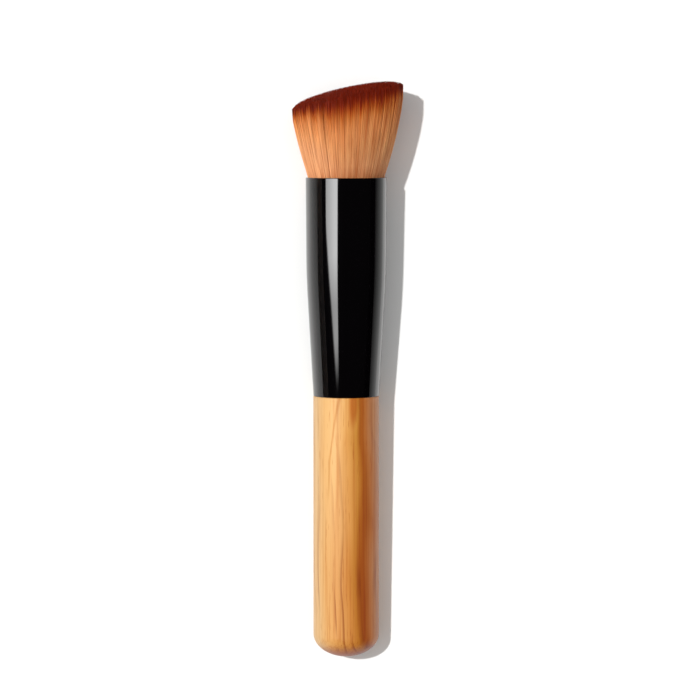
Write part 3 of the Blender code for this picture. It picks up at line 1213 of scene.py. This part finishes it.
@dataclass(frozen=True)
class BristleHead:
    """The dense head of fibres, flaring out of the ferrule to a slanted, crowned end."""

    axis: BrushAxis
    bore_gap: float = 0.12 * MM
    wall: float = 0.6 * MM
    full_radius: float = 15.75 * MM
    flare_power: float = 1.7
    axis_length: float = 24.0 * MM
    slant: float = math.tan(math.radians(12.0))
    crown: float = 1.6 * MM
    edge_drop: float = 1.2 * MM
    edge_power: float = 8.0
    inset: float = 3.0 * MM
    # A real fibre is about 0.1 mm thick, too fine to show, so it is drawn nearly twice as thick.
    fibre_radius: float = 0.085 * MM
    length_spread: float = 0.45 * MM
    wander: float = 0.30 * MM
    lock_size: float = 1.7 * MM
    lock_pull: float = 0.75 * MM
    tip_curl: float = 0.3 * MM
    curl_length: float = 2.2 * MM
    short_side_fade: float = 2.1
    thin_dye: float = 8.0
    core_depth: float = 1.1 * MM
    core_segments: int = 96
    core_side_steps: int = 14
    core_end_steps: int = 8
    core_tone: float = 0.5
    lots: tuple[FibreLot, ...] = (
        FibreLot(Zone.SKIN, 1, fibres=3900, inner_area=0.62, outer_area=0.84, seed=110),
        FibreLot(Zone.SKIN, 2, fibres=3900, inner_area=0.84, outer_area=0.935, seed=120),
        FibreLot(Zone.SKIN, 3, fibres=3900, inner_area=0.935, outer_area=0.995, seed=130),
        FibreLot(Zone.CROWN, 1, 8000, 0.0, 0.62, seed=111, depth=8 * MM, points=4),
    )

    @cached_property
    def mouth(self) -> float:
        """The height of the ferrule's mouth above the butt."""
        return self.axis.heights("ferrule")[1]

    @cached_property
    def mouth_radius(self) -> float:
        """The radius of the fibre bundle in the ferrule's mouth."""
        rim = self.axis.radius("ferrule", *self.axis.heights("ferrule"))
        return rim - self.wall - self.bore_gap

    @cached_property
    def longest(self) -> float:
        """The length over which the flare opens."""
        return self.axis_length + self.slant * self.full_radius

    def length_at(self, share: float, angle: float) -> float:
        """Works out the length of fibre outside the ferrule.

        Args:
            share: Distance of the fibre from the axis as a share of the head's radius.
            angle: Its direction from the axis.

        Returns:
            Height of the head's end above the mouth.
        """
        slanted = self.axis_length + self.slant * share * self.full_radius * math.cos(angle)
        return slanted - self.crown * share**2 - self.edge_drop * share**self.edge_power

    def radius_at(self, height: float) -> float:
        """Works out the head's outer radius.

        Args:
            height: Height above the mouth.

        Returns:
            Radius of the flare there.
        """
        opened = max(0.0, min(1.0, height / self.longest))
        narrowing = (self.full_radius - self.mouth_radius) * (1 - opened) ** self.flare_power
        return self.full_radius - narrowing

    def tree_values(self, lot: FibreLot, finish: Material) -> dict[str, object]:
        """Collects the values for the fibres' tree.

        Args:
            lot: The lot of fibres to grow.
            finish: Their material.

        Returns:
            Value of every input, by its name.
        """
        of_lot = ("fibres", "points", "seed", "inner_area", "outer_area", "depth")
        of_head = ("mouth", "mouth_radius", "full_radius", "longest", "flare_power", "axis_length")
        of_head += ("slant", "crown", "edge_drop", "edge_power", "inset", "fibre_radius")
        of_head += ("length_spread", "wander", "lock_size", "lock_pull", "tip_curl", "curl_length")
        of_head += ("short_side_fade", "thin_dye")
        values = {name: getattr(lot, name) for name in of_lot}
        values |= {name: getattr(self, name) for name in of_head}
        return values | {"finish": finish}

    def grow_lot(self, tree: NodeTree, lot: FibreLot, finish: Material) -> None:
        """Grows one lot of fibres as a plain mesh.

        Args:
            tree: The fibres' tree.
            lot: Which fibres to grow.
            finish: Their material.
        """
        holder = add_object("fibre_holder", bpy.data.meshes.new("fibre_holder"))
        grower = holder.modifiers.new("grow", "NODES")
        grower.node_group = tree
        values = self.tree_values(lot, finish)
        for socket in tree.interface.items_tree:
            if socket.in_out == "INPUT":
                grower[socket.identifier] = values[socket.name]
        grown = holder.evaluated_get(bpy.context.evaluated_depsgraph_get())
        mesh = bpy.data.meshes.new_from_object(grown)
        bpy.data.objects.remove(holder)
        mesh.shade_smooth()
        name = f"bristle_{lot.zone.value}_{lot.number}"
        self.axis.finish_piece(name, mesh, finish, "pale_fibre", "bristle_head")

    def core_ring(self, body: BMesh, share: float, level: float) -> list[BMVert]:
        """Adds a ring of the core's points, with the dye and tone that the finish reads.

        Args:
            body: The core, which has both layers.
            share: Distance of the ring from the axis, as a share of the head's radius.
            level: Its place up the core, from 0 to 1.

        Returns:
            The ring's points.
        """
        layers = body.verts.layers.float
        ring = []
        for step in range(self.core_segments):
            angle = math.tau * step / self.core_segments
            length = self.length_at(share, angle)
            height = between(-self.inset, length - self.core_depth, level)
            reach = share * self.radius_at(height)
            across, down = reach * math.cos(angle), reach * math.sin(angle)
            vertex = body.verts.new((across, down, self.mouth + height))
            even = length + self.edge_drop * share**self.edge_power
            vertex[layers["dye_depth"]] = (even - height) / MM
            vertex[layers["tone"]] = self.core_tone
            ring.append(vertex)
        return ring

    def build_core(self) -> None:
        """Builds the solid body of fibres under the outer ones, which closes the gaps."""
        body = bmesh.new()
        for attribute in ("dye_depth", "tone"):
            body.verts.layers.float.new(attribute)
        outermost = 1 - self.core_depth / self.full_radius
        levels = [step / self.core_side_steps for step in range(self.core_side_steps + 1)]
        shares = [1 - step / self.core_end_steps for step in range(1, self.core_end_steps)]
        rings = [self.core_ring(body, outermost, level) for level in levels]
        rings += [self.core_ring(body, outermost * share, 1.0) for share in shares]
        join_rings(body, rings)
        for ring in (rings[0], rings[-1]):
            body.faces.new(ring)
        # Fibre in the shade of the outer ones: duller and browner than the lit ones.
        finish = DippedFibreFinish("tip_dyed_fibre_in_shade", "#B08C70", "#C8A890", 0.8).build()
        mesh = smooth_mesh(body)
        self.axis.finish_piece("bristle_core", mesh, finish, "pale_fibre", "bristle_head")

    def build(self) -> None:
        """Builds the core and every lot of fibres."""
        self.build_core()
        finish = DippedFibreFinish().build()
        tree = FibreTree(self.tree_values(self.lots[0], finish)).grow()
        for lot in self.lots:
            self.grow_lot(tree, lot, finish)


@dataclass(frozen=True)
class InnerParts:
    """Finishes for the CAD parts that stay as they are, inside the ferrule.

    Wood glue sets milky and dull, cast resin amber and glossy, and twisted cotton looks
    matt and off-white.
    """

    finishes: dict[str, CloudyFinish] = field(
        default_factory=lambda: {
            "tenon_adhesive": CloudyFinish("set_white_glue", "#EFE8D6", "#D9CFB6", 4 * MM, 0.5),
            "root_potting": CloudyFinish("cast_epoxy_resin", "#CFA45E", "#A87C3C", 6 * MM, 0.2),
            "root_tie": CloudyFinish("twisted_cotton_thread", "#EDE6DA", "#CFC5B4", 0.4 * MM, 0.9),
        }
    )

    def dress(self) -> None:
        """Gives each inner part its finish."""
        for node, finish in self.finishes.items():
            materials = frame["nodes"][node].data.materials
            materials.clear()
            materials.append(finish.build())
            logger.info("%s: CAD part, dressed as %s", node, finish.name)


@dataclass(frozen=True)
class CutFace:
    """How black cards cut a soft box's lit face to a wedge that narrows towards the butt.

    Lengths are on the face, in metres from its middle.

    Attributes:
        outer: Reach of the lit part away from the overhead side, and how much that grows for
            each metre towards the head.
        inner: The same on the overhead side.
        softness: Half the width of the outer edge and of the inner edge.
        end: Places towards the butt at which the lit part ends and starts to fade.
        along: Share of the light that is left towards the butt, and the places between which
            it rises to all of it.
        across: The same from the outer side inwards.
    """

    outer: Pair
    inner: Pair
    softness: Pair
    end: Pair
    along: tuple[float, float, float]
    across: tuple[float, float, float]

    def dress(self, light: AreaLight) -> None:
        """Gives a light a shader that lights only the wedge.

        Args:
            light: Rectangular light, whose size is set.
        """
        tree = empty_tree(light)
        add = partial(add_node, tree)
        face = add("ShaderNodeNewGeometry").outputs["Parametric"]
        size = Vector((light.size, light.size_y, 0))
        place = add(VECTOR, face, size, -size / 2, operation="MULTIPLY_ADD")
        across, along, _ = add(SEPARATE, place).outputs
        edges = []
        for (reach, growth), sense, soft in zip((self.outer, self.inner), (1.0, -1.0), self.softness):
            limit = add(MATH, along, growth, reach, operation="MULTIPLY_ADD")
            past = add(MATH, across, sense, limit, operation="MULTIPLY_ADD")
            edges.append((past, -soft, soft))
        share = soft_mask(tree, [*edges, (along, *self.end)])
        for value, (least, start, full) in ((along, self.along), (across, self.across)):
            fade = add(MAP_RANGE, value, start, full, least)
            share = add(MATH, share, fade, operation="MULTIPLY")
        glow = add("ShaderNodeEmission", named={"Strength": share})
        add("ShaderNodeOutputLight", glow)


@dataclass(frozen=True)
class SoftBox:
    """A rectangular studio light.

    Attributes:
        name: Name of the light.
        lean: Angle from straight overhead, towards the left, in degrees.
        distance: Distance from the brush.
        side: Length of its sides.
        power: Power in watts.
        cut: How its lit face is cut. A cut light is there for the gloss alone, and the others
            show in no gloss.
    """

    name: str
    lean: float
    distance: float
    side: float
    power: float
    cut: CutFace | None = None

    def build(self) -> None:
        """Adds the light to the scene, facing the brush."""
        light = bpy.data.lights.new(self.name, "AREA")
        light.shape = "RECTANGLE"
        light.size = self.side
        light.size_y = self.side
        light.energy = self.power
        if self.cut:
            self.cut.dress(light)
        made = add_object(self.name, light)
        lean = math.radians(self.lean)
        made.location = self.distance * Vector((-math.sin(lean), 0, math.cos(lean)))
        made.location.z += BRUSH_AXIS_HEIGHT
        made.rotation_euler = (0, -lean, 0)
        made.visible_glossy = self.cut is not None
        made.visible_diffuse = self.cut is None
        made.visible_camera = False


@dataclass(frozen=True)
class GradedFlag:
    """A low sheet of black gauze beside the brush, which only the lacquer mirrors.

    It is clear at the table and thickens upwards, so that the mirrored floor fades out.

    Attributes:
        name: Name of the sheet.
        place: Distance from the brush towards the right.
        base: Share of the light that it holds back at the table.
        full_height: Height at which it would be black, at the butt's end and the head's end.
        ends: Places along the brush between which that height changes.
        shade: Colour of the gauze, which the fills light a little.
        height: Height of the sheet.
        reach: Half its length.
    """

    name: str
    place: float
    base: float
    full_height: Pair
    ends: Pair
    shade: str
    height: float = 30 * MM
    reach: float = 2.0

    def build(self) -> None:
        """Adds the sheet to the stage."""
        near, far = -self.reach, self.reach
        edge = ((near, 0.0), (far, 0.0), (far, self.height), (near, self.height))
        flag = add_stage_sheet(self.name, [(self.place, y, z) for y, z in edge], self.gauze())
        flag.visible_camera = False
        flag.visible_diffuse = False
        flag.visible_transmission = False
        flag.visible_shadow = False

    def gauze(self) -> Material:
        """Builds the graded gauze.

        Returns:
            Its material.
        """
        material = bpy.data.materials.new(f"{self.name}_gauze")
        add = partial(add_node, empty_tree(material))
        _, along, height = add(SEPARATE, add(COORDINATE).outputs["Object"]).outputs
        growths = [(1 - self.base) / full for full in self.full_height]
        growth = add(MAP_RANGE, along, *self.ends, *growths)
        inputs = (height, growth, self.base)
        density = add(MATH, *inputs, operation="MULTIPLY_ADD", use_clamp=True)
        clear = add("ShaderNodeBsdfTransparent")
        black = add("ShaderNodeBsdfDiffuse", linear_rgba(self.shade))
        add(SURFACE, add("ShaderNodeMixShader", density, clear, black))
        return material


@dataclass(frozen=True)
class Studio:
    """The pale floor and the soft studio light round the brush."""

    floor_half: float = 2.0
    floor_colour: str = "#F3F3F2"
    floor_roughness: float = 0.95
    floor_specular: float = 0.1
    gloss_cut: CutFace = CutFace(
        outer=(0.237, 1.14),
        inner=(0.157, 0.07),
        softness=(0.04, 0.04 / 3),
        end=(-0.264, -0.172),
        along=(0.55, -0.13, -0.03),
        across=(0.62, -0.25, 0.05),
    )
    soft_boxes: tuple[SoftBox, ...] = (
        SoftBox("key_soft_box", lean=37.5, distance=0.70, side=0.56, power=6.4, cut=gloss_cut),
        SoftBox("overhead_fill", lean=0.0, distance=1.8, side=2.6, power=22.0),
        SoftBox("left_fill", lean=60.0, distance=1.2, side=1.0, power=2.2),
        SoftBox("right_fill", lean=-60.0, distance=1.2, side=1.0, power=2.0),
    )
    flags: tuple[GradedFlag, ...] = (
        GradedFlag("right_flag", 30 * MM, 0.2, (22 * MM, 22 * MM), (0.0, 60 * MM), "#050505"),
        GradedFlag("left_flag", -30 * MM, 0.0, (36 * MM, 26 * MM), (15 * MM, 50 * MM), "#8A8580"),
    )
    sun_lean: float = 20.5
    sun_heading: Pair = (0.87, -0.49)
    sun_width: float = 1.6
    sun_strength: float = 2.5
    backdrop_colour: str = "#F4F4F4"
    room_and_backdrop: Pair = (0.008, 0.9)

    def build(self) -> None:
        """Builds the floor, the lights and the world."""
        self.build_floor()
        for soft_box in self.soft_boxes:
            soft_box.build()
        self.build_sun()
        for flag in self.flags:
            flag.build()
        self.build_world()
        bpy.context.scene.view_settings.view_transform = "Standard"

    def build_floor(self) -> None:
        """Adds the matt white table top."""
        card = bpy.data.materials.new("matt_white_card")
        add = partial(add_node, empty_tree(card))
        looks = {
            "Base Color": linear_rgba(self.floor_colour),
            "Roughness": self.floor_roughness,
            "Specular IOR Level": self.floor_specular,
        }
        add(SURFACE, add(PRINCIPLED, named=looks))
        half = self.floor_half
        corners = [(-half, -half, 0), (half, -half, 0), (half, half, 0), (-half, half, 0)]
        add_stage_sheet("table_top", corners, card)

    def build_sun(self) -> None:
        """Adds the small high light that draws the shadow to the right of the brush."""
        light = bpy.data.lights.new("shadow_light", "SUN")
        light.energy = self.sun_strength
        light.angle = math.radians(self.sun_width)
        made = add_object("shadow_light", light)
        lean = math.radians(self.sun_lean)
        heading = Vector((*self.sun_heading, 0)).normalized() * math.sin(lean)
        travel = heading + Vector((0, 0, -math.cos(lean)))
        made.rotation_mode = "QUATERNION"
        made.rotation_quaternion = travel.to_track_quat("-Z", "Y")
        made.visible_glossy = False

    def build_world(self) -> None:
        """Sets a dark room, which keeps the black lacquer black, behind a pale backdrop."""
        world = bpy.data.worlds.new("dark_studio")
        bpy.context.scene.world = world
        add = partial(add_node, empty_tree(world))
        seen = add("ShaderNodeLightPath").outputs["Is Camera Ray"]
        strength = add(MAP_RANGE, seen, 0.0, 1.0, *self.room_and_backdrop)
        background = add("ShaderNodeBackground", linear_rgba(self.backdrop_colour), strength)
        add("ShaderNodeOutputWorld", background)


@dataclass(frozen=True)
class PhotoCamera:
    """A camera that looks down on the brush as the photograph does.

    Attributes:
        distance: Distance to the brush.
        pitch: Lean from straight down, seen from the head's side, in degrees.
        pixel: Real size of one pixel of the photograph.
        picture: Width and height of the photograph in pixels.
        sensor: Width of the camera's sensor in millimetres.
        aim: Point of the frame that lies in the picture's middle.
        clip: Nearest and farthest distance that it sees.
    """

    distance: float = 0.95
    pitch: float = 1.4
    pixel: float = 0.27055 * MM
    picture: int = 700
    sensor: float = 36.0
    aim: tuple[float, float, float] = (0.00062, 0.00548, BRUSH_AXIS_HEIGHT)
    clip: Pair = (0.05, 20.0)

    def build(self) -> None:
        """Adds the camera and makes it the scene's own."""
        data = bpy.data.cameras.new("photo_camera")
        data.sensor_width = self.sensor
        half_width = self.picture * self.pixel / 2
        data.lens = self.sensor / 2 * self.distance / half_width
        data.clip_start, data.clip_end = self.clip
        camera = add_object("photo_camera", data)
        pitch = math.radians(self.pitch)
        back = Vector((0, math.sin(pitch), math.cos(pitch)))
        camera.location = Vector(self.aim) + back * self.distance
        camera.rotation_euler = (-pitch, 0, 0)
        bpy.context.scene.camera = camera


def main() -> None:
    """Builds the studio and the camera, then builds and dresses the brush."""
    axis = BrushAxis.from_frame()
    Studio().build()
    PhotoCamera().build()
    Handle(axis).build()
    Ferrule(axis).build()
    BristleHead(axis).build()
    InnerParts().dress()


if __name__ == "__main__":
    main()
